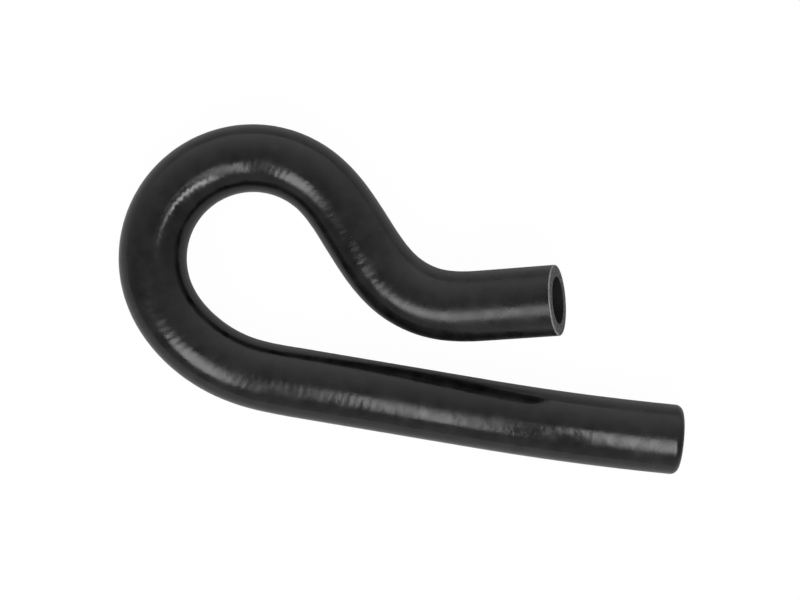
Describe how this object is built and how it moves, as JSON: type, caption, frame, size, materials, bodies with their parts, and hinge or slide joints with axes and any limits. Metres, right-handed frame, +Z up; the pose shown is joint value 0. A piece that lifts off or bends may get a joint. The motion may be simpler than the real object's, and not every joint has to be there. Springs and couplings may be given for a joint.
{
  "type": "heater hose",
  "caption": "Black rubber heater hose formed to shape: a long leg, a hooked bend and a short leg that climbs out of the bend's plane, open at both ends.",
  "frame": {"origin": "middle of the bounding box in plan, on the surface that the hose lies on", "axes": "+X along the long leg and out of its mouth; +Y across, from the long leg towards the short leg; +Z up, square to the plane that the hook is bent in"},
  "size_m": [0.1986, 0.106, 0.0397],
  "materials": {
    "rubber": "smooth black rubber with a soft sheen, faint ribs of the knit showing through, and dull grey cut ends"
  },
  "bodies": {
    "root": {"hose": "rubber"}
  },
  "joints": []
}
